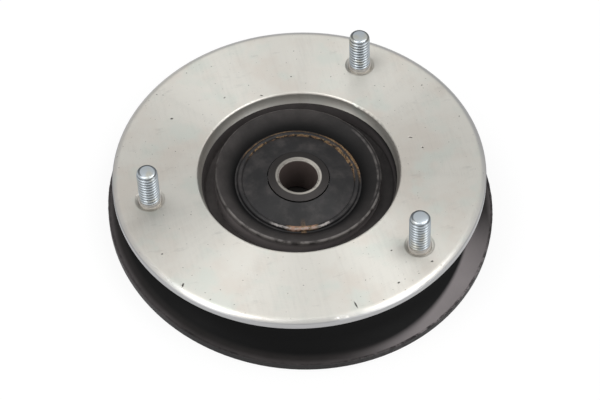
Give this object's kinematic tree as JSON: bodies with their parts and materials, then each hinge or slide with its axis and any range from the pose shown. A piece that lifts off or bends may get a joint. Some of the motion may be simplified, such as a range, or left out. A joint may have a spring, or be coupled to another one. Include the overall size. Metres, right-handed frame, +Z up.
{
  "type": "strut mount",
  "caption": "Round strut mount: a leaning steel plate with threaded studs, a grooved rubber body on a wider rim, and a sealed ball bearing with a sleeve for the damper rod.",
  "frame": {"origin": "the lower rim's centre, in the plane that the rim stands on", "axes": "+Z up, parallel to the strut axis, towards the top plate; the single stud is on the -X side"},
  "size_m": [0.148, 0.148, 0.0437],
  "materials": {
    "plate_steel": "bare rolled steel, faintly stained",
    "stud_zinc": "bright zinc plating",
    "rubber": "moulded, satin black",
    "black_steel": "thin satin black paint with some rust",
    "bearing_steel": "ground",
    "sleeve_steel": "turned, slightly tarnished"
  },
  "bodies": {
    "housing": {"top_plate": "plate_steel", "studs": "stud_zinc", "rubber_body": "rubber", "base_dish": "black_steel", "bearing_cup": "black_steel", "upper_shield": "black_steel", "lower_shield": "bearing_steel", "bearing_outer_ring": "bearing_steel"},
    "spindle": {"inner_sleeve": "sleeve_steel", "bearing_inner_ring": "bearing_steel"},
    "ball_set": {"bearing_balls": "bearing_steel", "ball_cage": "bearing_steel"}
  },
  "joints": [
    {"name": "sleeve_spin", "type": "hinge", "parent": "housing", "child": "spindle", "pos_m": [-0.00123, 0.00132, 0.0078], "axis": [0, 0, 1], "continuous": true},
    {"name": "cage_orbit", "type": "hinge", "parent": "housing", "child": "ball_set", "pos_m": [-0.00123, 0.00132, 0.0078], "axis": [0, 0, 1], "continuous": true}
  ],
  "couplings": [
    {"joint": "cage_orbit", "follows": "sleeve_spin", "ratio": 0.39925}
  ]
}
